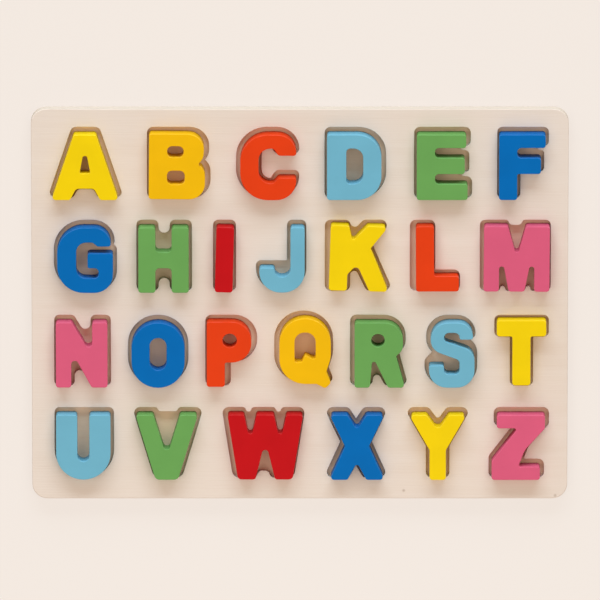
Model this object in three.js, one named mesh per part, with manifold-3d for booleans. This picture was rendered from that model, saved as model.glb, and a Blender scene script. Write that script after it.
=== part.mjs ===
// A wooden alphabet puzzle: a tray of two glued plywood panels and 26 loose painted letters.
// Each letter lies in its own cut-out in the upper panel, on the base panel, and lifts straight out.
// Millimetres, +Z up. The origin is on the table under the middle of the tray, +X runs along
// the rows of letters and +Y points to the first row.

import * as THREE from 'three';
import Module from 'manifold-3d';

const manifold = await Module();
manifold.setup();

// Tray
const BASE_THICKNESS = 3;
const PANEL_THICKNESS = 3;
const TRAY_CORNER = 8.5;
const LEFT_MARGIN = 12.6;
const RIGHT_MARGIN = 10.7;
const TOP_MARGIN = 10.4;
const BOTTOM_MARGIN = 12.1;
const LETTER_GAP = 9.7; // board between two cut-outs in the fullest row
const ROW_GAPS = [12.6, 14, 12.6]; // board between two rows of cut-outs, from the top

// Rows of letters, and how far a row hangs into the left and right margins
const ROWS = [
  { letters: 'ABCDEF', hangLeft: 2.8, hangRight: 0 },
  { letters: 'GHIJKLM', hangLeft: 0, hangRight: 0.9 },
  { letters: 'NOPQRST', hangLeft: 0, hangRight: 0 },
  { letters: 'UVWXYZ', hangLeft: 0, hangRight: 0 },
];

// Play between a letter and its cut-out, on each side and at each end
const SIDE_PLAY = 1.3;
const LOOSE_SIDE_PLAY = 1.9;
const END_PLAY = 1.7;
const WALL_GAP = 0.3; // left when a letter lies against a wall of its cut-out

// Strokes common to many letters
const LETTER_THICKNESS = 9;
const CAP_HEIGHT = 37.6;
const STEM = 10.2;
const THIN_STEM = 8.6;
const ARM = 9.2;
const TOP_ARM = 7.6;

// Corner radii
const EDGE_RADIUS = 1.6;
const INNER_RADIUS = 1;
const NOTCH_RADIUS = 2.2;
const TONGUE_RADIUS = 4.6;
const SHARPEST_RADIUS = 0.4;
const ARC_TOLERANCE = 0.05; // how far the flat sides of an arc may stray from the true curve

// Paints and wood
const YELLOW = '#f0cb0a';
const AMBER = '#f7bb0a';
const ORANGE = '#ec3d1c';
const RED = '#c81219';
const SKY_BLUE = '#70b2c8';
const GREEN = '#69a352';
const BLUE = '#0369b6';
const PINK = '#d6587a';
const BASSWOOD = '#e6d5c6';
const PAINT_ROUGHNESS = 0.45;
const WOOD_ROUGHNESS = 0.75;

// Each letter's own sizes. width is over the whole letter. side, end and lean say how the letter lies
// in its cut-out, as shares of the play: side runs from -1 at the left wall to 1 at the right wall,
// end from -1 at the foot, where most letters lie, to 1 at the top, and lean tips the top sideways.
// nudge is how far the cut-out sits from its even place in the row. tongue is the share of each
// notch's depth that the board fills.
const LETTERS = {
  A: {
    draw: drawA, paint: YELLOW, width: 37.4, side: -0.2, loose: true, tongue: 0.8,
    apex: 12.4, foot: 10.3, notchTop: 10, notchHeight: 6.6, bar: 8.7,
    counterBase: 6.1, counterTip: 2.2, counterHeight: 10.1,
  },
  B: {
    draw: drawB, paint: AMBER, width: 31.4, side: -0.6, lean: 0.1, loose: true, nudge: -0.8,
    step: 0.7, waistDip: 4, waistShare: 0.54, waistSlope: 3.2, bowlRadius: 9,
    bowl: 11.4, top: 7, waist: 7.6, foot: 8.5, counterRadius: 2.8,
  },
  C: {
    draw: drawC, paint: ORANGE, width: 31.3, side: 0.2, loose: true, nudge: -0.9,
    stroke: 10.3, top: 7.9, foot: 9.6, tongueDrop: 1.4, upperTerminal: 12, lowerTerminal: 12.8,
    terminal: 10, terminalSlope: 2.6, roundRadius: 15.4, hollowRadius: 6.5,
  },
  D: {
    draw: drawD, paint: SKY_BLUE, width: 30.4, side: -0.4, loose: true, nudge: -1.2,
    stem: 10.8, bowl: 10.2, bowlRadius: 13.5, counterRadius: 5.5, top: 7.9,
  },
  E: {
    draw: drawE, paint: GREEN, width: 28.4, side: -0.33, loose: true, tongue: 0.3,
    upperStep: 0.8, middleStep: 1.6,
  },
  F: { draw: drawF, paint: BLUE, width: 26, side: -0.4, nudge: -0.4, tongue: 0.34, middleStep: 2.6 },
  G: {
    draw: drawG, paint: BLUE, width: 31.2, side: -0.1, loose: true,
    step: 1.2, dip: 2.6, stroke: 10.7, top: 8.5, foot: 8.4, upperTerminal: 10.8,
    barShare: 0.606, bar: 8.5, barLength: 14.2, hollow: 12.4, mouth: 9.2, terminalSlope: 2.6,
    roundRadius: 15, footRadius: 10.5, hollowRadius: 5.5,
  },
  H: { draw: drawH, paint: GREEN, width: 28.2, side: -0.35, tongue: 0.53, stem: 9.6, barFoot: 14.2 },
  I: { draw: drawI, paint: RED, width: 10, lean: 0.5, nudge: 0.9 },
  J: {
    draw: drawJ, paint: SKY_BLUE, width: 25.4, side: 0.5, nudge: 1.1,
    stem: 8, hookHeight: 14.2, foot: 9, footRadius: 12,
  },
  K: {
    draw: drawK, paint: YELLOW, width: 33.3, side: 0.45, lean: 0.35, loose: true, nudge: 0.5, tongue: 0.97,
    armStart: 20.5, armStep: 1, upperNotch: 7.9, upperTip: 12.2, tipWidth: 1.2,
    sideNotch: 10.6, sideNotchShare: 0.66, legStart: 22.6,
    lowerNotch: 15.4, lowerTip: 15.3, lowerShoulder: 9.5,
  },
  L: { draw: drawL, paint: ORANGE, width: 24, side: 0.85, lean: -0.05, loose: true, nudge: -0.2, foot: 8.8 },
  M: {
    draw: drawM, paint: PINK, width: 36.8, side: 0.75, lean: 0.1, tongue: 0.2,
    valley: 10, valleyTip: 1.8, valleyDepth: 14.8, gap: 5.4, gapTip: 2.6, gapHeight: 14.5,
  },
  N: {
    draw: drawN, paint: PINK, width: 28.9, side: -0.45, tongue: 0.58,
    notch: 11.4, notchTip: 3.2, upperNotch: 14.1, lowerNotch: 15.5,
  },
  O: {
    draw: drawO, paint: BLUE, width: 29.8, loose: true,
    stroke: 10.2, top: 8.7, foot: 10.1,
  },
  P: {
    draw: drawP, paint: ORANGE, width: 25, side: -0.8, loose: true,
    bowlHeight: 23.5, bowlRadius: 11, hole: 8.1, holeInset: 12.1, holeDrop: 10.8,
  },
  Q: {
    draw: drawQ, paint: AMBER, width: 28.9, side: 0.5, loose: true,
    rise: 2.4, lift: 2, tailLength: 8, tailDrop: 0.6, tailTip: 3.2, tailNeck: 9, neckInset: 2.6,
    stroke: 8.6, counterDrop: 8.2, counterRadius: 5.4, leftLeg: 14.6, rightLeg: 16.6,
    peak: 18.8, legWidth: 3.8, toeWidth: 1.8,
  },
  R: {
    draw: drawR, paint: GREEN, width: 28.1, side: 0.3, loose: true, tongue: 0.42,
    bowlStep: 1, bowlFoot: 22, bowlRadius: 10.5, chinRadius: 6, neckInset: 4.9, neckHeight: 18.2,
    legStart: 18.8, notchHeight: 15, notchTip: 1.8, notchInset: 1.2,
    hole: 7.6, holeInset: 15, holeDrop: 10.2,
  },
  S: {
    draw: drawS, paint: SKY_BLUE, width: 25.5, side: 0.3, loose: true,
    step: 0.9, stroke: 8.4, foot: 7.6, top: 5.8,
    lowerTerminalShare: 0.34, upperTerminalShare: 0.742, spineEndShare: 0.423, spineStartShare: 0.715,
    leftShoulderShare: 0.585, rightShoulderShare: 0.561,
    tongueDepth: 4.8, leftTongueShare: 0.479, rightTongueShare: 0.665,
    roundRadius: 10, shoulderRadius: 8, hollowRadius: 2.8,
  },
  T: { draw: drawT, paint: YELLOW, width: 27.7, side: -0.1, end: 0 },
  U: { draw: drawU, paint: SKY_BLUE, width: 30.5, side: -0.5, stroke: 11.9, foot: 10.5 },
  V: {
    draw: drawV, paint: GREEN, width: 34.9, side: -0.4, loose: true, tongue: 0.12,
    arm: 10, foot: 12.6, footRadius: 3, tip: 2.8, tipHeight: 17.6,
  },
  W: {
    draw: drawW, paint: RED, width: 42.4, side: 0.6, loose: true, nudge: 0.2, tongue: 0.24,
    arm: 9.4, valley: 6.9, valleyTip: 2.2, valleyDepth: 11,
    taper: 5.9, arch: 11, archTip: 2.8, archHeight: 17.2, footRadius: 2.4,
  },
  X: {
    draw: drawX, paint: BLUE, width: 30.6, side: 0.3, loose: true, nudge: 0.8, tongue: 0.9,
    arm: 10, notchTip: 1.6, upperNotch: 7.2, lowerNotch: 8.6, waist: 13.4, waistHeight: 19.4,
  },
  Y: {
    draw: drawY, paint: YELLOW, width: 32, loose: true, nudge: 0.5, tongue: 0.86,
    arm: 9.8, stem: 9.2, notchTip: 2.2, notchDepth: 7.2, shoulder: 17.4,
  },
  Z: {
    draw: drawZ, paint: PINK, width: 29.8, side: -0.2, loose: true, nudge: 0.3,
    topInset: 2.8, footInset: 2.7, upperCorner: 14.6, lowerCorner: 14.8,
    bend: 18.6, bendHeight: 17.5, bendRadius: 10, blockHeight: 10.5,
  },
};

// A notch from one point of an edge to another. reach is 1 in a letter, and in the board it is
// the share of the depth that the tongue there fills.
function notch(edgeStart, innerStart, innerEnd, edgeEnd, reach) {
  const tipRadius = reach < 1 ? TONGUE_RADIUS : NOTCH_RADIUS;
  const partWay = (from, to) => from.map((value, axis) => THREE.MathUtils.lerp(value, to[axis], reach));
  return [
    [...edgeStart, EDGE_RADIUS],
    [...partWay(edgeStart, innerStart), tipRadius],
    [...partWay(edgeEnd, innerEnd), tipRadius],
    [...edgeEnd, EDGE_RADIUS],
  ];
}

function roundedBox(left, bottom, right, top, radius) {
  return [
    [left, bottom, radius],
    [right, bottom, radius],
    [right, top, radius],
    [left, top, radius],
  ];
}

function roundHole(x, y, diameter) {
  const radius = diameter / 2;
  return roundedBox(x - radius, y - radius, x + radius, y + radius, radius);
}

// Letters. Each one is drawn counter-clockwise from the lower left, as corners of x, y and radius,
// with x from 0 at its left edge and y from 0 at its foot.

function drawA(size, reach) {
  const middle = size.width / 2;
  const counterFoot = size.notchHeight + size.bar;
  const counterTop = counterFoot + size.counterHeight;
  const outline = [
    [0, 0, EDGE_RADIUS],
    ...notch(
      [size.foot, 0],
      [middle - size.notchTop / 2, size.notchHeight],
      [middle + size.notchTop / 2, size.notchHeight],
      [size.width - size.foot, 0],
      reach,
    ),
    [size.width, 0, EDGE_RADIUS],
    [middle + size.apex / 2, CAP_HEIGHT, EDGE_RADIUS],
    [middle - size.apex / 2, CAP_HEIGHT, EDGE_RADIUS],
  ];
  const counter = [
    [middle - size.counterBase / 2, counterFoot, INNER_RADIUS],
    [middle + size.counterBase / 2, counterFoot, INNER_RADIUS],
    [middle + size.counterTip / 2, counterTop, INNER_RADIUS],
    [middle - size.counterTip / 2, counterTop, INNER_RADIUS],
  ];
  return { outline, counters: [counter] };
}

function drawB(size) {
  const upperRight = size.width - size.step;
  const waistHeight = size.waistShare * CAP_HEIGHT;
  const outline = [
    [0, 0, EDGE_RADIUS],
    [size.width, 0, size.bowlRadius],
    [size.width, waistHeight - size.waistSlope, size.bowlRadius],
    [size.width - size.waistDip, waistHeight, INNER_RADIUS],
    [upperRight, waistHeight + size.waistSlope, size.bowlRadius],
    [upperRight, CAP_HEIGHT, size.bowlRadius],
    [0, CAP_HEIGHT, EDGE_RADIUS],
  ];
  const counterTop = waistHeight - size.waist / 2;
  const counterFoot = waistHeight + size.waist / 2;
  const upperTop = CAP_HEIGHT - size.top;
  const lower = roundedBox(STEM, size.foot, size.width - size.bowl, counterTop, size.counterRadius);
  const upper = roundedBox(STEM, counterFoot, upperRight - size.bowl, upperTop, size.counterRadius);
  return { outline, counters: [lower, upper] };
}

function drawC(size, reach) {
  const hollowTop = CAP_HEIGHT - size.top;
  const hollowFoot = reach === 1 ? size.foot : size.foot - size.tongueDrop;
  const mouthFoot = size.lowerTerminal;
  const mouthTop = CAP_HEIGHT - size.upperTerminal;
  const lip = size.width - size.terminal;
  const throat = lip - size.terminalSlope;
  const outline = [
    [0, 0, size.roundRadius],
    [size.width, 0, size.roundRadius],
    [size.width, mouthFoot, NOTCH_RADIUS],
    [lip, mouthFoot, NOTCH_RADIUS],
    [throat, hollowFoot, NOTCH_RADIUS],
    [size.stroke, hollowFoot, size.hollowRadius],
    [size.stroke, hollowTop, size.hollowRadius],
    [throat, hollowTop, NOTCH_RADIUS],
    [lip, mouthTop, NOTCH_RADIUS],
    [size.width, mouthTop, NOTCH_RADIUS],
    [size.width, CAP_HEIGHT, size.roundRadius],
    [0, CAP_HEIGHT, size.roundRadius],
  ];
  return { outline, counters: [] };
}

function drawD(size) {
  const outline = [
    [0, 0, EDGE_RADIUS],
    [size.width, 0, size.bowlRadius],
    [size.width, CAP_HEIGHT, size.bowlRadius],
    [0, CAP_HEIGHT, EDGE_RADIUS],
  ];
  const counter = [
    [size.stem, ARM, NOTCH_RADIUS],
    [size.width - size.bowl, ARM, size.counterRadius],
    [size.width - size.bowl, CAP_HEIGHT - size.top, size.counterRadius],
    [size.stem, CAP_HEIGHT - size.top, NOTCH_RADIUS],
  ];
  return { outline, counters: [counter] };
}

// The slots of E and F are equally high, between two arms and a thinner top arm.
const slotHeight = (CAP_HEIGHT - 2 * ARM - TOP_ARM) / 2;

function drawE(size, reach) {
  const middleFoot = ARM + slotHeight;
  const middleTop = middleFoot + ARM;
  const middleRight = size.width - size.middleStep;
  const upperRight = size.width - size.upperStep;
  const upperFoot = CAP_HEIGHT - TOP_ARM;
  const outline = [
    [0, 0, EDGE_RADIUS],
    [size.width, 0, EDGE_RADIUS],
    ...notch([size.width, ARM], [STEM, ARM], [STEM, middleFoot], [middleRight, middleFoot], reach),
    ...notch([middleRight, middleTop], [STEM, middleTop], [STEM, upperFoot], [upperRight, upperFoot], reach),
    [upperRight, CAP_HEIGHT, EDGE_RADIUS],
    [0, CAP_HEIGHT, EDGE_RADIUS],
  ];
  return { outline, counters: [] };
}

function drawF(size, reach) {
  const middleFoot = ARM + slotHeight;
  const middleTop = middleFoot + ARM;
  const middleRight = size.width - size.middleStep;
  const upperFoot = CAP_HEIGHT - TOP_ARM;
  const outline = [
    [0, 0, EDGE_RADIUS],
    [STEM, 0, EDGE_RADIUS],
    [STEM, middleFoot, INNER_RADIUS],
    [middleRight, middleFoot, EDGE_RADIUS],
    ...notch([middleRight, middleTop], [STEM, middleTop], [STEM, upperFoot], [size.width, upperFoot], reach),
    [size.width, CAP_HEIGHT, EDGE_RADIUS],
    [0, CAP_HEIGHT, EDGE_RADIUS],
  ];
  return { outline, counters: [] };
}

function drawG(size, reach) {
  const barTop = size.barShare * CAP_HEIGHT;
  const barFoot = barTop - size.bar;
  const barLeft = size.width - size.barLength;
  const hollowRight = size.stroke + size.hollow;
  const hollowTop = CAP_HEIGHT - size.top;
  const throat = size.stroke + size.mouth;
  const lip = throat + size.terminalSlope;
  const mouthTop = CAP_HEIGHT - size.upperTerminal;
  const upperRight = size.width - size.step;
  const mouth = [
    [barLeft, barTop, EDGE_RADIUS],
    [barLeft, barFoot, INNER_RADIUS],
    [hollowRight, barFoot, NOTCH_RADIUS],
    [hollowRight, size.foot, NOTCH_RADIUS],
    [size.stroke, size.foot, size.hollowRadius],
    [size.stroke, hollowTop, size.hollowRadius],
    [throat, hollowTop, NOTCH_RADIUS],
    [lip, mouthTop, NOTCH_RADIUS],
  ];
  const dip = [[size.width - size.dip, (barTop + mouthTop) / 2, TONGUE_RADIUS]];
  const outline = [
    [0, 0, size.roundRadius],
    [size.width, 0, size.footRadius],
    [size.width, barTop, EDGE_RADIUS],
    ...(reach === 1 ? mouth : dip),
    [upperRight, mouthTop, NOTCH_RADIUS],
    [upperRight, CAP_HEIGHT, size.roundRadius],
    [0, CAP_HEIGHT, size.roundRadius],
  ];
  return { outline, counters: [] };
}

function drawH(size, reach) {
  const left = size.stem;
  const right = size.width - size.stem;
  const barTop = size.barFoot + ARM;
  const outline = [
    [0, 0, EDGE_RADIUS],
    ...notch([left, 0], [left, size.barFoot], [right, size.barFoot], [right, 0], reach),
    [size.width, 0, EDGE_RADIUS],
    [size.width, CAP_HEIGHT, EDGE_RADIUS],
    ...notch([right, CAP_HEIGHT], [right, barTop], [left, barTop], [left, CAP_HEIGHT], reach),
    [0, CAP_HEIGHT, EDGE_RADIUS],
  ];
  return { outline, counters: [] };
}

function drawI(size) {
  return { outline: roundedBox(0, 0, size.width, CAP_HEIGHT, EDGE_RADIUS), counters: [] };
}

function drawJ(size, reach) {
  const stemLeft = size.width - size.stem;
  const slotRadius = (stemLeft - THIN_STEM) / 2;
  const slot = [
    [stemLeft, size.foot, slotRadius],
    [THIN_STEM, size.foot, slotRadius],
    [THIN_STEM, size.hookHeight, EDGE_RADIUS],
  ];
  const step = [[stemLeft, size.hookHeight, INNER_RADIUS]];
  const outline = [
    [0, 0, size.footRadius],
    [size.width, 0, size.footRadius],
    [size.width, CAP_HEIGHT, EDGE_RADIUS],
    [stemLeft, CAP_HEIGHT, EDGE_RADIUS],
    ...(reach === 1 ? slot : step),
    [0, size.hookHeight, EDGE_RADIUS],
  ];
  return { outline, counters: [] };
}

function drawK(size, reach) {
  const notchFoot = CAP_HEIGHT - size.upperNotch;
  const outline = [
    [0, 0, EDGE_RADIUS],
    ...notch(
      [STEM, 0],
      [STEM, size.lowerShoulder],
      [size.lowerTip, size.lowerNotch],
      [size.legStart, 0],
      reach,
    ),
    [size.width, 0, EDGE_RADIUS],
    [size.width - size.sideNotch, size.sideNotchShare * CAP_HEIGHT, INNER_RADIUS],
    [size.width - size.armStep, CAP_HEIGHT, EDGE_RADIUS],
    ...notch(
      [size.armStart, CAP_HEIGHT],
      [size.upperTip + size.tipWidth, notchFoot],
      [size.upperTip, notchFoot],
      [STEM, CAP_HEIGHT],
      reach,
    ),
    [0, CAP_HEIGHT, EDGE_RADIUS],
  ];
  return { outline, counters: [] };
}

function drawL(size) {
  const outline = [
    [0, 0, EDGE_RADIUS],
    [size.width, 0, EDGE_RADIUS],
    [size.width, size.foot, EDGE_RADIUS],
    [STEM, size.foot, INNER_RADIUS],
    [STEM, CAP_HEIGHT, EDGE_RADIUS],
    [0, CAP_HEIGHT, EDGE_RADIUS],
  ];
  return { outline, counters: [] };
}

function drawM(size, reach) {
  const middle = size.width / 2;
  const right = size.width - THIN_STEM;
  const valleyFoot = CAP_HEIGHT - size.valleyDepth;
  const outline = [
    [0, 0, EDGE_RADIUS],
    ...notch(
      [THIN_STEM, 0],
      [THIN_STEM, size.gapHeight],
      [THIN_STEM + size.gapTip, size.gapHeight],
      [THIN_STEM + size.gap, 0],
      reach,
    ),
    ...notch(
      [right - size.gap, 0],
      [right - size.gapTip, size.gapHeight],
      [right, size.gapHeight],
      [right, 0],
      reach,
    ),
    [size.width, 0, EDGE_RADIUS],
    [size.width, CAP_HEIGHT, EDGE_RADIUS],
    ...notch(
      [middle + size.valley / 2, CAP_HEIGHT],
      [middle + size.valleyTip / 2, valleyFoot],
      [middle - size.valleyTip / 2, valleyFoot],
      [middle - size.valley / 2, CAP_HEIGHT],
      reach,
    ),
    [0, CAP_HEIGHT, EDGE_RADIUS],
  ];
  return { outline, counters: [] };
}

function drawN(size, reach) {
  const right = size.width - THIN_STEM;
  const upperFoot = CAP_HEIGHT - size.upperNotch;
  const outline = [
    [0, 0, EDGE_RADIUS],
    ...notch(
      [THIN_STEM, 0],
      [THIN_STEM, size.lowerNotch],
      [THIN_STEM + size.notchTip, size.lowerNotch],
      [THIN_STEM + size.notch, 0],
      reach,
    ),
    [size.width, 0, EDGE_RADIUS],
    [size.width, CAP_HEIGHT, EDGE_RADIUS],
    ...notch(
      [right, CAP_HEIGHT],
      [right, upperFoot],
      [right - size.notchTip, upperFoot],
      [right - size.notch, CAP_HEIGHT],
      reach,
    ),
    [0, CAP_HEIGHT, EDGE_RADIUS],
  ];
  return { outline, counters: [] };
}

function drawO(size) {
  const counterRight = size.width - size.stroke;
  const counterRadius = (counterRight - size.stroke) / 2;
  const counter = roundedBox(size.stroke, size.foot, counterRight, CAP_HEIGHT - size.top, counterRadius);
  return { outline: roundedBox(0, 0, size.width, CAP_HEIGHT, size.width / 2), counters: [counter] };
}

function drawP(size) {
  const bowlFoot = CAP_HEIGHT - size.bowlHeight;
  const outline = [
    [0, 0, EDGE_RADIUS],
    [STEM, 0, EDGE_RADIUS],
    [STEM, bowlFoot, INNER_RADIUS],
    [size.width, bowlFoot, size.bowlRadius],
    [size.width, CAP_HEIGHT, size.bowlRadius],
    [0, CAP_HEIGHT, EDGE_RADIUS],
  ];
  const hole = roundHole(size.width - size.holeInset, CAP_HEIGHT - size.holeDrop, size.hole);
  return { outline, counters: [hole] };
}

function drawQ(size) {
  const top = CAP_HEIGHT + size.rise;
  const roundRadius = size.width / 2;
  const counterRight = size.width - size.stroke;
  const outline = [
    [0, size.lift, roundRadius],
    [size.width - size.tailLength, size.lift, INNER_RADIUS],
    [size.width - size.tailTip, -size.tailDrop, EDGE_RADIUS],
    [size.width, size.tailTip - size.tailDrop, EDGE_RADIUS],
    [size.width - size.neckInset, size.tailNeck, INNER_RADIUS],
    [size.width, size.tailNeck + size.tailLength, roundRadius],
    [size.width, top, roundRadius],
    [0, top, roundRadius],
  ];
  const counter = [
    [size.stroke, size.leftLeg, INNER_RADIUS],
    [size.stroke + size.legWidth, size.leftLeg, INNER_RADIUS],
    [(size.stroke + counterRight) / 2, size.peak, INNER_RADIUS],
    [counterRight - size.toeWidth, size.rightLeg, INNER_RADIUS],
    [counterRight, size.rightLeg, INNER_RADIUS],
    [counterRight, top - size.counterDrop, size.counterRadius],
    [size.stroke, top - size.counterDrop, size.counterRadius],
  ];
  return { outline, counters: [counter] };
}

function drawR(size, reach) {
  const bowlRight = size.width - size.bowlStep;
  const notchLeft = THIN_STEM + size.notchInset;
  const outline = [
    [0, 0, EDGE_RADIUS],
    ...notch(
      [THIN_STEM, 0],
      [notchLeft, size.notchHeight],
      [notchLeft + size.notchTip, size.notchHeight],
      [size.legStart, 0],
      reach,
    ),
    [size.width, 0, EDGE_RADIUS],
    [size.width - size.neckInset, size.neckHeight, INNER_RADIUS],
    [bowlRight, size.bowlFoot, size.chinRadius],
    [bowlRight, CAP_HEIGHT, size.bowlRadius],
    [0, CAP_HEIGHT, EDGE_RADIUS],
  ];
  const hole = roundHole(size.width - size.holeInset, CAP_HEIGHT - size.holeDrop, size.hole);
  return { outline, counters: [hole] };
}

function drawS(size, reach) {
  const upperRight = size.width - size.step;
  const innerRight = size.width - size.stroke;
  const upperMouthTop = size.upperTerminalShare * CAP_HEIGHT;
  const lowerMouthFoot = size.lowerTerminalShare * CAP_HEIGHT;
  const hollowTop = CAP_HEIGHT - size.top;
  const upperMouth = [
    [size.stroke, size.spineStartShare * CAP_HEIGHT, size.hollowRadius],
    [size.stroke, hollowTop, size.hollowRadius],
    [innerRight, hollowTop, size.hollowRadius],
    [innerRight, upperMouthTop, INNER_RADIUS],
  ];
  const lowerMouth = [
    [innerRight, size.spineEndShare * CAP_HEIGHT, size.hollowRadius],
    [innerRight, size.foot, size.hollowRadius],
    [size.stroke, size.foot, size.hollowRadius],
    [size.stroke, lowerMouthFoot, INNER_RADIUS],
  ];
  const rightTongue = [[size.width - size.tongueDepth, size.rightTongueShare * CAP_HEIGHT, NOTCH_RADIUS]];
  const leftTongue = [[size.tongueDepth, size.leftTongueShare * CAP_HEIGHT, NOTCH_RADIUS]];
  const outline = [
    [0, 0, size.roundRadius],
    [size.width, 0, size.roundRadius],
    [size.width, size.rightShoulderShare * CAP_HEIGHT, size.shoulderRadius],
    ...(reach === 1 ? upperMouth : rightTongue),
    [upperRight, upperMouthTop, EDGE_RADIUS],
    [upperRight, CAP_HEIGHT, size.roundRadius],
    [size.step, CAP_HEIGHT, size.roundRadius],
    [size.step, size.leftShoulderShare * CAP_HEIGHT, size.shoulderRadius],
    ...(reach === 1 ? lowerMouth : leftTongue),
    [0, lowerMouthFoot, EDGE_RADIUS],
  ];
  return { outline, counters: [] };
}

function drawT(size) {
  const stemLeft = (size.width - STEM) / 2;
  const stemRight = (size.width + STEM) / 2;
  const barFoot = CAP_HEIGHT - ARM;
  const outline = [
    [stemLeft, 0, EDGE_RADIUS],
    [stemRight, 0, EDGE_RADIUS],
    [stemRight, barFoot, INNER_RADIUS],
    [size.width, barFoot, EDGE_RADIUS],
    [size.width, CAP_HEIGHT, EDGE_RADIUS],
    [0, CAP_HEIGHT, EDGE_RADIUS],
    [0, barFoot, EDGE_RADIUS],
    [stemLeft, barFoot, INNER_RADIUS],
  ];
  return { outline, counters: [] };
}

function drawU(size, reach) {
  const slotRight = size.width - size.stroke;
  const slotRadius = (slotRight - size.stroke) / 2;
  const slot = [
    [slotRight, CAP_HEIGHT, EDGE_RADIUS],
    [slotRight, size.foot, slotRadius],
    [size.stroke, size.foot, slotRadius],
    [size.stroke, CAP_HEIGHT, EDGE_RADIUS],
  ];
  const outline = [
    [0, 0, size.width / 2],
    [size.width, 0, size.width / 2],
    [size.width, CAP_HEIGHT, EDGE_RADIUS],
    ...(reach === 1 ? slot : []),
    [0, CAP_HEIGHT, EDGE_RADIUS],
  ];
  return { outline, counters: [] };
}

function drawV(size, reach) {
  const middle = size.width / 2;
  const outline = [
    [middle - size.foot / 2, 0, size.footRadius],
    [middle + size.foot / 2, 0, size.footRadius],
    [size.width, CAP_HEIGHT, EDGE_RADIUS],
    ...notch(
      [size.width - size.arm, CAP_HEIGHT],
      [middle + size.tip / 2, size.tipHeight],
      [middle - size.tip / 2, size.tipHeight],
      [size.arm, CAP_HEIGHT],
      reach,
    ),
    [0, CAP_HEIGHT, EDGE_RADIUS],
  ];
  return { outline, counters: [] };
}

function drawW(size, reach) {
  const middle = size.width / 2;
  const valleyFoot = CAP_HEIGHT - size.valleyDepth;
  const valleyMiddle = size.arm + size.valley / 2;
  const valley = (centre) => notch(
    [centre + size.valley / 2, CAP_HEIGHT],
    [centre + size.valleyTip / 2, valleyFoot],
    [centre - size.valleyTip / 2, valleyFoot],
    [centre - size.valley / 2, CAP_HEIGHT],
    reach,
  );
  const outline = [
    [size.taper, 0, size.footRadius],
    ...notch(
      [middle - size.arch / 2, 0],
      [middle - size.archTip / 2, size.archHeight],
      [middle + size.archTip / 2, size.archHeight],
      [middle + size.arch / 2, 0],
      reach,
    ),
    [size.width - size.taper, 0, size.footRadius],
    [size.width, CAP_HEIGHT, EDGE_RADIUS],
    ...valley(size.width - valleyMiddle),
    ...valley(valleyMiddle),
    [0, CAP_HEIGHT, EDGE_RADIUS],
  ];
  return { outline, counters: [] };
}

function drawX(size, reach) {
  const middle = size.width / 2;
  const right = size.width - size.arm;
  const tipLeft = middle - size.notchTip / 2;
  const tipRight = middle + size.notchTip / 2;
  const upperTip = CAP_HEIGHT - size.upperNotch;
  const outline = [
    [0, 0, EDGE_RADIUS],
    ...notch([size.arm, 0], [tipLeft, size.lowerNotch], [tipRight, size.lowerNotch], [right, 0], reach),
    [size.width, 0, EDGE_RADIUS],
    [middle + size.waist / 2, size.waistHeight, INNER_RADIUS],
    [size.width, CAP_HEIGHT, EDGE_RADIUS],
    ...notch([right, CAP_HEIGHT], [tipRight, upperTip], [tipLeft, upperTip], [size.arm, CAP_HEIGHT], reach),
    [0, CAP_HEIGHT, EDGE_RADIUS],
    [middle - size.waist / 2, size.waistHeight, INNER_RADIUS],
  ];
  return { outline, counters: [] };
}

function drawY(size, reach) {
  const middle = size.width / 2;
  const stemLeft = middle - size.stem / 2;
  const stemRight = middle + size.stem / 2;
  const notchFoot = CAP_HEIGHT - size.notchDepth;
  const outline = [
    [stemLeft, 0, EDGE_RADIUS],
    [stemRight, 0, EDGE_RADIUS],
    [stemRight, size.shoulder, INNER_RADIUS],
    [size.width, CAP_HEIGHT, EDGE_RADIUS],
    ...notch(
      [size.width - size.arm, CAP_HEIGHT],
      [middle + size.notchTip / 2, notchFoot],
      [middle - size.notchTip / 2, notchFoot],
      [size.arm, CAP_HEIGHT],
      reach,
    ),
    [0, CAP_HEIGHT, EDGE_RADIUS],
    [stemLeft, size.shoulder, INNER_RADIUS],
  ];
  return { outline, counters: [] };
}

function drawZ(size) {
  const footRight = size.width - size.footInset;
  const barFoot = CAP_HEIGHT - TOP_ARM;
  const outline = [
    [0, 0, EDGE_RADIUS],
    [footRight, 0, EDGE_RADIUS],
    [footRight, TOP_ARM, EDGE_RADIUS],
    [size.lowerCorner, TOP_ARM, INNER_RADIUS],
    [size.bend, size.bendHeight, size.bendRadius],
    [size.width, barFoot, EDGE_RADIUS],
    [size.width, CAP_HEIGHT, EDGE_RADIUS],
    [size.topInset, CAP_HEIGHT, EDGE_RADIUS],
    [size.topInset, barFoot, EDGE_RADIUS],
    [size.upperCorner, barFoot, INNER_RADIUS],
    [0, size.blockHeight, EDGE_RADIUS],
  ];
  return { outline, counters: [] };
}

// The cut-out round a letter: every side of the outline moves out by the play in its direction.
function widened(corners, sidePlay) {
  const sides = corners.map(([x, y, radius], index) => {
    const [nextX, nextY] = corners[(index + 1) % corners.length];
    const along = new THREE.Vector2(nextX - x, nextY - y).normalize();
    const outward = new THREE.Vector2(along.y, -along.x);
    const play = Math.hypot(sidePlay * outward.x, END_PLAY * outward.y);
    return { along, start: new THREE.Vector2(x, y).addScaledVector(outward, play), radius };
  });
  return cornersBetween(sides, Math.min(sidePlay, END_PLAY));
}

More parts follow.
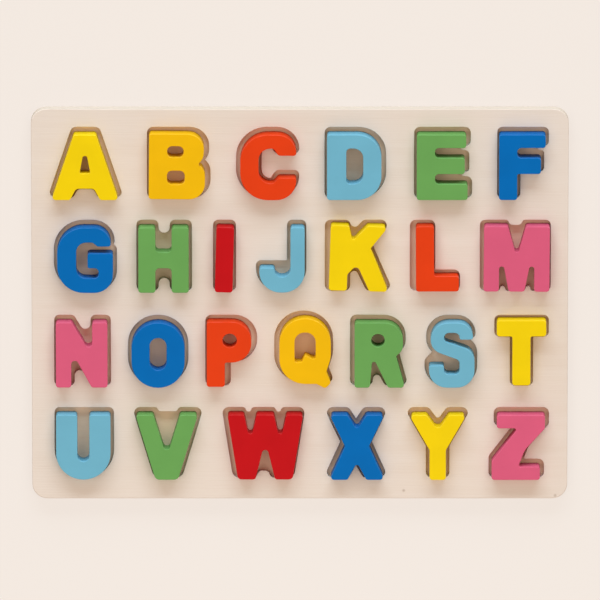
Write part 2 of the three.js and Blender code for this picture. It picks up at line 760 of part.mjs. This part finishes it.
// The corners where moved sides meet. A side goes when its neighbours meet before they reach it,
// as at the tip of a narrow tongue.
function cornersBetween(sides, play) {
  const turns = sides.map(({ along }, index) => sides.at(index - 1).along.cross(along));
  const meetings = sides.map((after, index) => {
    const before = sides.at(index - 1);
    const distance = after.start.clone().sub(before.start).cross(after.along) / turns[index];
    return before.start.clone().addScaledVector(before.along, distance);
  });
  const kept = sides.filter(({ along }, index) => {
    const length = meetings[(index + 1) % sides.length].clone().sub(meetings[index]).dot(along);
    return length > 0;
  });
  if (kept.length < sides.length) {
    return cornersBetween(kept, play);
  }
  return sides.map(({ radius }, index) => {
    const newRadius = radius + Math.sign(turns[index]) * play;
    return [meetings[index].x, meetings[index].y, Math.max(SHARPEST_RADIUS, newRadius)];
  });
}

// Points round an outline, with each corner turned into an arc. Where two arcs would run into
// each other along a side, both shrink to fit it.
function roundedPoints(corners) {
  const count = corners.length;
  const points = corners.map(([x, y]) => new THREE.Vector2(x, y));
  const sides = points.map((point, index) => points[(index + 1) % count].clone().sub(point));
  const turns = sides.map((side, index) => {
    const before = sides.at(index - 1);
    return Math.atan2(before.cross(side), before.dot(side));
  });
  const reaches = corners.map(([, , radius], index) => radius * Math.tan(Math.abs(turns[index]) / 2));
  const room = sides.map((side, index) => {
    const wanted = reaches[index] + reaches[(index + 1) % count];
    return Math.min(1, side.length() / wanted);
  });
  const rounded = points.flatMap((corner, index) => {
    const shrink = Math.min(room[index], room.at(index - 1));
    const radius = corners[index][2] * shrink;
    const before = sides.at(index - 1).clone().normalize();
    const start = corner.clone().addScaledVector(before, -reaches[index] * shrink);
    const inward = new THREE.Vector2(-before.y, before.x).multiplyScalar(Math.sign(turns[index]));
    const centre = start.clone().addScaledVector(inward, radius);
    const widestStep = 2 * Math.acos(1 - Math.min(1, ARC_TOLERANCE / radius));
    const steps = Math.max(1, Math.ceil(Math.abs(turns[index]) / widestStep));
    return Array.from({ length: steps + 1 }, (_, step) => (
      start.clone().rotateAround(centre, (turns[index] * step) / steps)
    ));
  });
  const closest = ARC_TOLERANCE / 10;
  return rounded.filter((point, index) => point.distanceTo(rounded.at(index - 1)) > closest);
}

// A flat plate with vertical walls, from the points of its outline and of its holes
function plate(outlinePoints, holePoints, thickness) {
  const loops = [outlinePoints, ...holePoints].map((points) => points.map(({ x, y }) => [x, y]));
  const section = new manifold.CrossSection(loops, 'EvenOdd');
  const { vertProperties, triVerts } = section.extrude(thickness).getMesh();
  const shared = new THREE.BufferGeometry();
  shared.setAttribute('position', new THREE.BufferAttribute(vertProperties, 3));
  shared.setIndex(new THREE.BufferAttribute(triVerts, 1));
  const geometry = shared.toNonIndexed();
  geometry.computeVertexNormals();
  return geometry;
}

function piece(name, geometry, colour, roughness) {
  const material = new THREE.MeshStandardMaterial({ color: colour, roughness, metalness: 0 });
  const mesh = new THREE.Mesh(geometry, material);
  mesh.name = name;
  return mesh;
}

// Layout of the cut-outs: the fullest row sets the tray's length, and every row fills that length.
const sidePlayOf = (letter) => (LETTERS[letter].loose ? LOOSE_SIDE_PLAY : SIDE_PLAY);
const cutOutWidth = (letter) => LETTERS[letter].width + 2 * sidePlayOf(letter);
const cutOutHeight = CAP_HEIGHT + 2 * END_PLAY;
const rowWidths = ROWS.map(({ letters }) => (
  [...letters].reduce((sum, letter) => sum + cutOutWidth(letter), 0)
));
const fullestRow = Math.max(...ROWS.map(({ letters, hangLeft, hangRight }, row) => (
  rowWidths[row] + (letters.length - 1) * LETTER_GAP - hangLeft - hangRight
)));
const trayLength = LEFT_MARGIN + fullestRow + RIGHT_MARGIN;
const rowGapsTotal = ROW_GAPS.reduce((sum, gap) => sum + gap, 0);
const trayWidth = TOP_MARGIN + ROWS.length * cutOutHeight + rowGapsTotal + BOTTOM_MARGIN;

function letterCentres() {
  const centres = {};
  let y = trayWidth / 2 - TOP_MARGIN - cutOutHeight / 2;
  ROWS.forEach(({ letters, hangLeft, hangRight }, row) => {
    const gap = (fullestRow + hangLeft + hangRight - rowWidths[row]) / (letters.length - 1);
    let left = LEFT_MARGIN - hangLeft - trayLength / 2;
    for (const letter of letters) {
      const evenPlace = left + cutOutWidth(letter) / 2;
      centres[letter] = new THREE.Vector2(evenPlace + (LETTERS[letter].nudge ?? 0), y);
      left += cutOutWidth(letter) + gap;
    }
    y -= cutOutHeight + (ROW_GAPS[row] ?? 0);
  });
  return centres;
}

const centres = letterCentres();
const centred = (points, letter) => {
  const middle = new THREE.Vector2(LETTERS[letter].width / 2, CAP_HEIGHT / 2);
  return points.map((point) => point.clone().sub(middle));
};

function makeTray() {
  const corners = roundedBox(-trayLength / 2, -trayWidth / 2, trayLength / 2, trayWidth / 2, TRAY_CORNER);
  const outline = roundedPoints(corners);
  const cutOuts = Object.entries(LETTERS).map(([letter, size]) => {
    const { outline: drawn } = size.draw(size, size.tongue ?? 0);
    const points = roundedPoints(widened(drawn, sidePlayOf(letter)));
    return centred(points, letter).map((point) => point.add(centres[letter]));
  });
  const base = piece('tray_base', plate(outline, [], BASE_THICKNESS), BASSWOOD, WOOD_ROUGHNESS);
  const panel = piece('tray_panel', plate(outline, cutOuts, PANEL_THICKNESS), BASSWOOD, WOOD_ROUGHNESS);
  panel.position.z = BASE_THICKNESS;
  return [base, panel];
}

// A letter lies on the base, slid to one end and one side of its cut-out as far as its play lets it.
function makeLetter(letter) {
  const size = LETTERS[letter];
  const { outline, counters } = size.draw(size, 1);
  const [outlinePoints, ...counterPoints] = [outline, ...counters].map((corners) => (
    centred(roundedPoints(corners), letter)
  ));
  const geometry = plate(outlinePoints, counterPoints, LETTER_THICKNESS);
  const mesh = piece(`letter_${letter.toLowerCase()}`, geometry, size.paint, PAINT_ROUGHNESS);
  const side = size.side ?? 0;
  const end = size.end ?? -1;
  const lean = size.lean ?? 0;
  const sideTravel = sidePlayOf(letter) - WALL_GAP;
  const endTravel = END_PLAY - WALL_GAP;
  const angle = (lean * sideTravel) / (CAP_HEIGHT / 2);
  const endShare = Math.sqrt(1 - (Math.abs(side) + Math.abs(lean)) ** 2);
  const freeTravel = Math.max(0, endTravel * endShare - Math.abs(angle) * (size.width / 2));
  const { x, y } = centres[letter];
  mesh.position.set(x + side * sideTravel, y + end * freeTravel, BASE_THICKNESS);
  mesh.rotation.z = -angle;
  return mesh;
}

const puzzle = new THREE.Group();
puzzle.add(...makeTray());
puzzle.add(...Object.keys(LETTERS).map(makeLetter));

export default puzzle;
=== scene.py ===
"""A wooden alphabet puzzle: 26 painted letters in a tray of two glued plywood panels."""

import math

import bmesh
import bpy
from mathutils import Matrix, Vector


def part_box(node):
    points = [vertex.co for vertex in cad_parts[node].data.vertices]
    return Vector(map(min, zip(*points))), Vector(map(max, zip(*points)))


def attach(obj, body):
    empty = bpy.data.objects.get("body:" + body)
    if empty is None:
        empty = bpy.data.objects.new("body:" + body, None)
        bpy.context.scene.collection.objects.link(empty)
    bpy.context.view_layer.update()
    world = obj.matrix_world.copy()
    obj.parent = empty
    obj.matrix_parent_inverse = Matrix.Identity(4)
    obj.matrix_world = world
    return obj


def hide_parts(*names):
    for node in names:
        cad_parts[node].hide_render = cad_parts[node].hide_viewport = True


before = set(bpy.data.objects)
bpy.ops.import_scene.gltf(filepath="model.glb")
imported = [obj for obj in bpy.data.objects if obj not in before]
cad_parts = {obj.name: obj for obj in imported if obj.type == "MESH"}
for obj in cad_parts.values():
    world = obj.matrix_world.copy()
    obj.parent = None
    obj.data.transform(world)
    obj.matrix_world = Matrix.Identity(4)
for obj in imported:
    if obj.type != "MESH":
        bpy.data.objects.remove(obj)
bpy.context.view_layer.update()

MM = 0.001

# Rounded edges
LETTER_ROUNDING = 0.3 * MM
TRAY_ROUNDING = 0.5 * MM
CUT_OUT_ROUNDING = 0.25 * MM
GLUE_LINE_ROUNDING = 0.12 * MM
ROUNDING_STEPS = 3
SMOOTH_BELOW = math.radians(50)

# Copies of the solids
MERGE_DISTANCE = 0.001 * MM
FLAT_WITHIN = math.radians(0.5)
LEVEL_WITHIN = 0.01 * MM
LYING_FLAT = 0.9  # how upright the normal of a lying face is, at the least
TRAY_BORDER = 8 * MM  # the cut-outs start further in than this

# Paints, and the letters that each of them coats
PAINTS = {
    "yellow": ("#fad50a", "akty"),
    "amber": ("#f9be0a", "bq"),
    "orange": ("#ea4114", "clp"),
    "red": ("#c81219", "iw"),
    "sky_blue": ("#74b6cf", "djsu"),
    "green": ("#6ea759", "ehrv"),
    "blue": ("#006cb9", "fgox"),
    "pink": ("#e05f81", "mnz"),
}

# Paint: its brightness where mottled or under painted shade at the walls' foot, its paleness on rims from
# wear and painted highlight, and its gloss and relief
MOTTLED_BRIGHTNESS = 0.9
MOST_MOTTLING = 0.6
MOST_STREAKING = 0.25
# Painted shade: the letters' walls darken towards their foot
WALL_SHADE_BRIGHTNESS = 0.6
# Wear and painted highlight: the paint pales on the rims
RIM_WEAR_AND_HIGHLIGHT_PALENESS = 0.22
PAINT_RIM_WEAR_AND_HIGHLIGHT = 0.35
PAINT_GLOSS = 0.08
PAINT_ROUGHNESS = (0.34, 0.46)
PAINT_RELIEF = 0.03 * MM

# Plywood: the panel's pale face, the base's browner one, whose brown also paints the warm shade of the
# recess floors, their cut edges and the panel's pin knots
PALE_BASSWOOD = "#ecdcd1"
STREAKED_BASSWOOD = "#dfc8b6"
# Painted shade, with the base's own colour: browner wood that shows as the shaded recess floors
BROWN_AND_SHADED_BASSWOOD = "#f0d0b6"
STREAKED_BROWN_AND_SHADED = "#e0ba9a"
CROSS_PLY = "#c4b09c"
CUT_EDGE = "#d6c8bb"
PLY_DARKNESS = [(0.3, 0), (0.34, 1), (0.39, 0.6), (0.61, 0.6), (0.66, 1), (0.7, 0)]  # by share up a sheet
CROSS_PLY_SHARE = 0.8
GLUE_LINE_WAVER = 0.1 * MM
PIN_KNOT = "#8a6a4c"
PIN_KNOTS = [(58.2 * MM, -108.2 * MM, 0), (143.1 * MM, -111.1 * MM, 0)]
PIN_KNOT_RADIUS = 1.2 * MM
PIN_KNOT_SHARE = 0.5
PATCHINESS = (0.05, 0.4)
MOST_FIBRE = 0.14
WOOD_RIM_WEAR = 0.3
WOOD_GLOSS = 0.2
WOOD_ROUGHNESS = (0.6, 0.75)
WOOD_RELIEF = 0.05 * MM

# Noise: its waves per metre along each axis, and the range that most of its values lie in
STREAK_WAVES = (4, 110, 110)
FIBRE_WAVES = (40, 1500, 1500)
PATCH_WAVES = (9, 14, 14)
GLUE_LINE_WAVES = (90, 90, 40)
RUBBING_WAVES = (260, 260, 260)
MOTTLE_WAVES = (55, 55, 55)
PEEL_WAVES = (750, 750, 750)
NOISE_RANGE = (0.3, 0.7)
BUMP_STRENGTH = 0.6

# View of the photograph
LENS = 1000
SENSOR = 36
VIEW_TILT = math.radians(15.4)
VIEW_WIDTH = 335.2 * MM
VIEW_CENTRE = (0.11 * MM, 2.52 * MM, 6 * MM)
VIEW_DEPTH = 100

# Studio
FLOOR_CREAM = "#f4eae2"
FLOOR_SIZE = 40
FLOOR_GLOW = 0.82
FLOOR_ROUGHNESS = 0.9
WARM_WHITE = "#fff4e6"
COOL_WHITE = "#dcf2ff"
FILL_STRENGTH = 0.47


def linear(hex_colour):
    """A written colour as the linear colour that sockets take."""
    written = [int(hex_colour[start:start + 2], 16) / 255 for start in (1, 3, 5)]
    light = [c / 12.92 if c <= 0.04045 else ((c + 0.055) / 1.055) ** 2.4 for c in written]
    return (*light, 1)


def dimmed(colour, brightness):
    return (*(brightness * channel for channel in colour[:3]), 1)


def paled(colour, paleness):
    return (*(channel + paleness * (1 - channel) for channel in colour[:3]), 1)


# Pieces

def deselect_all():
    bpy.ops.object.select_all(action="DESELECT")


def whole_copy(node, name):
    """A copy of a solid, with its loose triangles merged and its flat faces made whole."""
    piece = bpy.data.objects.new(name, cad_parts[node].data.copy())
    piece.data.name = name
    piece.data.materials.clear()
    bpy.context.collection.objects.link(piece)
    deselect_all()
    piece.select_set(True)
    bpy.context.view_layer.objects.active = piece
    bpy.ops.object.mode_set(mode="EDIT")
    bpy.ops.mesh.select_all(action="SELECT")
    bpy.ops.mesh.remove_doubles(threshold=MERGE_DISTANCE)
    bpy.ops.mesh.dissolve_limited(angle_limit=FLAT_WITHIN)
    bpy.ops.object.mode_set(mode="OBJECT")
    return piece


def round_rims(piece, height, rounding, is_wanted=lambda edge: True):
    """Rounds the edges between a flat face at that height and the walls below or above it."""
    bpy.ops.object.mode_set(mode="EDIT")
    bpy.ops.mesh.select_mode(type="EDGE")
    bpy.ops.mesh.select_all(action="DESELECT")
    mesh = bmesh.from_edit_mesh(piece.data)
    for edge in mesh.edges:
        flat_faces = [face for face in edge.link_faces if abs(face.normal.z) > LYING_FLAT]
        at_height = all(abs(vertex.co.z - height) < LEVEL_WITHIN for vertex in edge.verts)
        edge.select_set(at_height and len(flat_faces) == 1 and is_wanted(edge))
    bmesh.update_edit_mesh(piece.data)
    bpy.ops.mesh.bevel(offset=rounding, segments=ROUNDING_STEPS, profile=0.5, affect="EDGES")
    bpy.ops.object.mode_set(mode="OBJECT")


def smooth(piece):
    """Smooth walls and rims, with the large faces kept flat."""
    deselect_all()
    piece.select_set(True)
    bpy.context.view_layer.objects.active = piece
    bpy.ops.object.shade_smooth_by_angle(angle=SMOOTH_BELOW)
    flat_faces = piece.modifiers.new("Flat faces", "WEIGHTED_NORMAL")
    flat_faces.keep_sharp = True
    bpy.ops.object.modifier_apply(modifier=flat_faces.name)


def stand_in_for(piece, node, body, material):
    piece.data.materials.append(material)
    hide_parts(node)
    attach(piece, body)


def make_letter(letter, paint):
    node = f"letter_{letter}"
    low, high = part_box(node)
    piece = whole_copy(node, f"painted_letter_{letter}")
    round_rims(piece, high.z, LETTER_ROUNDING)
    round_rims(piece, low.z, LETTER_ROUNDING)
    smooth(piece)
    stand_in_for(piece, node, node, paint)


def make_tray(panel_wood, base_wood):
    low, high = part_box("tray_base")
    base = whole_copy("tray_base", "base_panel")
    round_rims(base, low.z, TRAY_ROUNDING)
    round_rims(base, high.z, GLUE_LINE_ROUNDING)
    smooth(base)
    stand_in_for(base, "tray_base", "tray", base_wood)

    low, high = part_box("tray_panel")

    def on_outline(edge):
        middle = (edge.verts[0].co + edge.verts[1].co) / 2
        return abs(middle.x) > high.x - TRAY_BORDER or abs(middle.y) > high.y - TRAY_BORDER

    panel = whole_copy("tray_panel", "cut_out_panel")
    round_rims(panel, high.z, TRAY_ROUNDING, on_outline)
    round_rims(panel, low.z, GLUE_LINE_ROUNDING, on_outline)
    round_rims(panel, high.z, CUT_OUT_ROUNDING, lambda edge: not on_outline(edge))
    smooth(panel)
    stand_in_for(panel, "tray_panel", "tray", panel_wood)


# Finishes

def place(tree, kind, inputs=None, **options):
    """Adds a node with its options, and fills its inputs with values or with other nodes' outputs."""
    node = tree.nodes.new(kind)
    for option, value in options.items():
        setattr(node, option, value)
    for socket, value in (inputs or {}).items():
        if isinstance(value, bpy.types.NodeSocket):
            tree.links.new(value, node.inputs[socket])
        else:
            node.inputs[socket].default_value = value
    return node


def mixed(tree, share, first, second):
    """The first colour, with a share of the second mixed in."""
    node = place(tree, "ShaderNodeMix", {0: share, 6: first, 7: second}, data_type="RGBA")
    return node.outputs[2]


def ranged(tree, value, low, high, new_low, new_high):
    """The value's range from low to high, stretched to a new range and clipped to it."""
    inputs = {"Value": value, "From Min": low, "From Max": high, "To Min": new_low, "To Max": new_high}
    return place(tree, "ShaderNodeMapRange", inputs).outputs["Result"]


def worked(tree, operation, first, second):
    return place(tree, "ShaderNodeMath", {0: first, 1: second}, operation=operation).outputs[0]


def noise(tree, waves, detail=3.0):
    """Noise over the piece, with so many waves per metre along each axis."""
    mapped = place(tree, "ShaderNodeMapping", {"Vector": object_place(tree), "Scale": waves})
    inputs = {"Vector": mapped.outputs[0], "Scale": 1, "Detail": detail}
    return place(tree, "ShaderNodeTexNoise", inputs).outputs[0]


def new_group(name, inputs, outputs):
    """An empty node group with named inputs and outputs, and its two end nodes."""
    group = bpy.data.node_groups.new(name, "ShaderNodeTree")
    for socket, kind in inputs.items():
        group.interface.new_socket(socket, in_out="INPUT", socket_type=kind)
    for socket, kind in outputs.items():
        group.interface.new_socket(socket, in_out="OUTPUT", socket_type=kind)
    return group, group.nodes.new("NodeGroupInput"), group.nodes.new("NodeGroupOutput")


def use_group(tree, group, inputs=None):
    return place(tree, "ShaderNodeGroup", inputs, node_tree=group)


def object_place(tree):
    return place(tree, "ShaderNodeTexCoord").outputs["Object"]


def height_up(tree):
    return place(tree, "ShaderNodeSeparateXYZ", {0: object_place(tree)}).outputs["Z"]


def flatness(tree):
    """1 on lying faces and 0 on upright walls, with the rounded rims in between."""
    normal = place(tree, "ShaderNodeNewGeometry").outputs["Normal"]
    upward = place(tree, "ShaderNodeSeparateXYZ", {0: normal}).outputs["Z"]
    return worked(tree, "ABSOLUTE", upward, 0)


def wall_mask(tree):
    return ranged(tree, flatness(tree), 0.3, 0.6, 1, 0)


def make_grain_group():
    """Straight grain along the tray: broad soft streaks with fine fibres in them."""
    outputs = {"Streaks": "NodeSocketFloat", "Fibres": "NodeSocketFloat"}
    group, _, end = new_group("Straight grain", {}, outputs)
    streaks = noise(group, STREAK_WAVES, detail=4)
    fibres = noise(group, FIBRE_WAVES, detail=2)
    group.links.new(ranged(group, streaks, *NOISE_RANGE, 0, 1), end.inputs["Streaks"])
    group.links.new(ranged(group, fibres, *NOISE_RANGE, 0, 1), end.inputs["Fibres"])
    return group


def make_rim_wear_and_highlight_group():
    """A mask of the rounded edges, broken up where hands have rubbed them. On the paint it pales the rims
    for wear and as a painted highlight.
    """
    inputs = {"Amount": "NodeSocketFloat"}
    group, start, end = new_group("Rim wear and highlight", inputs, {"Mask": "NodeSocketFloat"})
    flat = flatness(group)
    rim = worked(group, "MULTIPLY", flat, worked(group, "SUBTRACT", 1, flat))
    rubbed = ranged(group, noise(group, RUBBING_WAVES), 0.4, 0.65, 0.25, 1)
    full = ranged(group, rim, 0.02, 0.25, 0, 1)
    mask = worked(group, "MULTIPLY", worked(group, "MULTIPLY", full, rubbed), start.outputs["Amount"])
    group.links.new(mask, end.inputs["Mask"])
    return group


def make_ply_group():
    """The tray's cut edges, and the darker middle layer of each sheet with its two glue lines."""
    outputs = {"Edge": "NodeSocketFloat", "Middle layer": "NodeSocketFloat"}
    group, _, end = new_group("Ply layers", {}, outputs)
    low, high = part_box("tray_base")
    waver = ranged(group, noise(group, GLUE_LINE_WAVES), *NOISE_RANGE, -GLUE_LINE_WAVER, GLUE_LINE_WAVER)
    sheets_up = worked(group, "DIVIDE", worked(group, "ADD", height_up(group), waver), high.z - low.z)
    ramp = place(group, "ShaderNodeValToRGB", {"Fac": worked(group, "FRACT", sheets_up, 0)})
    layers = ramp.color_ramp
    layers.elements[0].color = (0, 0, 0, 1)
    layers.elements[1].color = (0, 0, 0, 1)
    for share_up, darkness in PLY_DARKNESS:
        layers.elements.new(share_up).color = (darkness, darkness, darkness, 1)
    edge = wall_mask(group)
    group.links.new(edge, end.inputs["Edge"])
    group.links.new(worked(group, "MULTIPLY", ramp.outputs["Color"], edge), end.inputs["Middle layer"])
    return group


def make_painted_wall_shade_group():
    """A mask of the painted shade on the letters' walls: full at the foot, and none at the top."""
    low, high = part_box("letter_a")
    group, _, end = new_group("Painted wall shade", {}, {"Mask": "NodeSocketFloat"})
    depth = ranged(group, height_up(group), low.z, high.z, 1, 0)
    group.links.new(worked(group, "MULTIPLY", depth, wall_mask(group)), end.inputs["Mask"])
    return group


def make_knots_group():
    """A soft mask of the panel's two pin knots, seen from above."""
    group, _, end = new_group("Pin knots", {}, {"Mask": "NodeSocketFloat"})
    flattened = {0: object_place(group), 1: (1, 1, 0)}
    plan = place(group, "ShaderNodeVectorMath", flattened, operation="MULTIPLY").outputs[0]
    mask = 0
    for knot in PIN_KNOTS:
        away = place(group, "ShaderNodeVectorMath", {0: plan, 1: knot}, operation="DISTANCE")
        spot = ranged(group, away.outputs["Value"], 0, PIN_KNOT_RADIUS, 1, 0)
        mask = worked(group, "MAXIMUM", mask, spot)
    group.links.new(mask, end.inputs["Mask"])
    return group


def new_material(name, hex_colour):
    material = bpy.data.materials.new(name)
    material.use_nodes = True
    material.diffuse_color = linear(hex_colour)
    tree = material.node_tree
    return material, tree, tree.nodes["Principled BSDF"]


def connect(tree, shader, colour, roughness, height, relief):
    tree.links.new(colour, shader.inputs["Base Color"])
    tree.links.new(roughness, shader.inputs["Roughness"])
    bump = place(tree, "ShaderNodeBump", {"Height": height, "Strength": BUMP_STRENGTH, "Distance": relief})
    tree.links.new(bump.outputs["Normal"], shader.inputs["Normal"])


def make_paint(name, hex_colour, grain, rim_wear_and_highlight, painted_wall_shade):
    """Sprayed satin paint: slightly mottled, paled on the rims by wear and a painted highlight, darkened at
    the walls' foot by painted shade, over faint wood grain.
    """
    material, tree, shader = new_material(f"{name}_paint", hex_colour)
    paint = linear(hex_colour)
    deeper = dimmed(paint, MOTTLED_BRIGHTNESS)
    # Darker paint for the painted shade at the walls' foot
    foot_shaded = dimmed(paint, WALL_SHADE_BRIGHTNESS)
    # Paler paint for the rims, for wear and a painted highlight
    paler_rim = paled(paint, RIM_WEAR_AND_HIGHLIGHT_PALENESS)
    fibres = use_group(tree, grain)
    rim = use_group(tree, rim_wear_and_highlight, {"Amount": PAINT_RIM_WEAR_AND_HIGHLIGHT})
    mottle = ranged(tree, noise(tree, MOTTLE_WAVES), 0.35, 0.7, 0, MOST_MOTTLING)
    colour = mixed(tree, mottle, paint, deeper)
    colour = mixed(tree, ranged(tree, fibres.outputs["Streaks"], 0.2, 1, 0, MOST_STREAKING), colour, deeper)
    # Painted shade: the walls darken towards their foot
    colour = mixed(tree, use_group(tree, painted_wall_shade).outputs["Mask"], colour, foot_shaded)
    # Wear and painted highlight: the rims pale
    colour = mixed(tree, rim.outputs["Mask"], colour, paler_rim)
    peel = noise(tree, PEEL_WAVES, detail=1)
    roughness = ranged(tree, peel, *NOISE_RANGE, *PAINT_ROUGHNESS)
    height = worked(tree, "ADD", peel, worked(tree, "MULTIPLY", fibres.outputs["Fibres"], 0.5))
    connect(tree, shader, colour, roughness, height, PAINT_RELIEF)
    shader.inputs["Specular IOR Level"].default_value = PAINT_GLOSS
    return material


def make_wood(name, pale_colour, streaked_colour, grain, rim_wear_and_highlight, ply, knots=None):
    """Sanded basswood plywood, almost plain, with its layers showing on the cut edges."""
    material, tree, shader = new_material(f"{name}_ply", pale_colour)
    pale = linear(pale_colour)
    streaked = linear(streaked_colour)
    fibres = use_group(tree, grain)
    rim = use_group(tree, rim_wear_and_highlight, {"Amount": WOOD_RIM_WEAR})
    layers = use_group(tree, ply)
    patches = ranged(tree, noise(tree, PATCH_WAVES), *NOISE_RANGE, *PATCHINESS)
    streaks = worked(tree, "MULTIPLY", fibres.outputs["Streaks"], patches)
    colour = mixed(tree, streaks, pale, streaked)
    colour = mixed(tree, ranged(tree, fibres.outputs["Fibres"], 0.3, 1, 0, MOST_FIBRE), colour, streaked)
    if knots:
        knot = use_group(tree, knots).outputs["Mask"]
        colour = mixed(tree, ranged(tree, knot, 0, 1, 0, PIN_KNOT_SHARE), colour, linear(PIN_KNOT))
    colour = mixed(tree, layers.outputs["Edge"], colour, linear(CUT_EDGE))
    cross_ply = ranged(tree, layers.outputs["Middle layer"], 0, 1, 0, CROSS_PLY_SHARE)
    colour = mixed(tree, cross_ply, colour, linear(CROSS_PLY))
    colour = mixed(tree, rim.outputs["Mask"], colour, streaked)
    roughness = ranged(tree, fibres.outputs["Fibres"], 0, 1, *WOOD_ROUGHNESS)
    height = worked(tree, "ADD", fibres.outputs["Fibres"], worked(tree, "MULTIPLY", streaks, 0.5))
    connect(tree, shader, colour, roughness, height, WOOD_RELIEF)
    shader.inputs["Specular IOR Level"].default_value = WOOD_GLOSS
    return material


# Studio

def make_floor():
    """A pale floor: partly its own even glow, and partly lit, so that it keeps the tray's shadow."""
    deselect_all()
    bpy.ops.mesh.primitive_plane_add(size=FLOOR_SIZE)
    floor = bpy.context.active_object
    floor.name = "studio_floor"
    material, tree, shader = new_material("studio_floor", FLOOR_CREAM)
    cream = linear(FLOOR_CREAM)
    lit_part = dimmed(cream, 1 - FLOOR_GLOW)
    ray = place(tree, "ShaderNodeLightPath").outputs
    seen = worked(tree, "MAXIMUM", ray["Is Camera Ray"], ray["Is Glossy Ray"])
    seen = worked(tree, "MAXIMUM", seen, ray["Is Transmission Ray"])
    tree.links.new(mixed(tree, seen, cream, lit_part), shader.inputs["Base Color"])
    tree.links.new(worked(tree, "MULTIPLY", seen, FLOOR_GLOW), shader.inputs["Emission Strength"])
    shader.inputs["Emission Color"].default_value = cream
    shader.inputs["Roughness"].default_value = FLOOR_ROUGHNESS
    shader.inputs["Specular IOR Level"].default_value = 0
    floor.data.materials.append(material)


def add_area_light(name, location, hex_colour, width, height, power):
    """A soft rectangular light aimed at the tray. Its place and size are in metres, its power in watts."""
    light = bpy.data.lights.new(name, "AREA")
    light.shape = "RECTANGLE"
    light.size = width
    light.size_y = height
    light.energy = power
    light.color = linear(hex_colour)[:3]
    lamp = bpy.data.objects.new(name, light)
    bpy.context.collection.objects.link(lamp)
    lamp.location = location
    lamp.rotation_euler = (-lamp.location).to_track_quat("-Z", "Y").to_euler()
    lamp.visible_camera = False


def make_lights():
    """A low window behind the tray, a softbox high on each side, a card in front and even fill."""
    add_area_light("low_window", (0, 3.4, 1.4), COOL_WHITE, width=4, height=1.2, power=145)
    for name, side in [("left_softbox", -1), ("right_softbox", 1)]:
        add_area_light(name, (side * 1.5, 0.2, 2.4), WARM_WHITE, width=1.2, height=1.2, power=8.6)
    add_area_light("front_card", (0, -0.45, 0.38), WARM_WHITE, width=0.45, height=0.45, power=0.6)
    world = bpy.data.worlds.new("studio")
    bpy.context.scene.world = world
    world.use_nodes = True
    background = world.node_tree.nodes["Background"]
    background.inputs["Color"].default_value = linear(WARM_WHITE)
    background.inputs["Strength"].default_value = FILL_STRENGTH


def make_camera():
    camera = bpy.data.cameras.new("photograph")
    camera.lens = LENS
    camera.sensor_width = SENSOR
    camera.clip_end = VIEW_DEPTH
    view = bpy.data.objects.new("photograph", camera)
    bpy.context.collection.objects.link(view)
    distance = VIEW_WIDTH * LENS / SENSOR
    x, y, z = VIEW_CENTRE
    view.location = (x, y + distance * math.sin(VIEW_TILT), z + distance * math.cos(VIEW_TILT))
    view.rotation_euler = (-VIEW_TILT, 0, 0)
    bpy.context.scene.camera = view


grain = make_grain_group()
# Rim mask: wear on wood and paint, and a painted highlight on the paint
rim_wear_and_highlight = make_rim_wear_and_highlight_group()
ply = make_ply_group()
# The letters' walls get painted shade towards their foot
painted_wall_shade = make_painted_wall_shade_group()
knots = make_knots_group()
panel_wood = make_wood("panel", PALE_BASSWOOD, STREAKED_BASSWOOD, grain, rim_wear_and_highlight, ply, knots)
# The base's browner wood also paints the warm shade of the recess floors
base_wood = make_wood("base", BROWN_AND_SHADED_BASSWOOD, STREAKED_BROWN_AND_SHADED, grain, rim_wear_and_highlight, ply)
make_tray(panel_wood, base_wood)
for paint_name, (hex_colour, letters) in PAINTS.items():
    paint = make_paint(paint_name, hex_colour, grain, rim_wear_and_highlight, painted_wall_shade)
    for letter in letters:
        make_letter(letter, paint)

make_floor()
make_lights()
make_camera()
bpy.context.scene.view_settings.view_transform = "Standard"
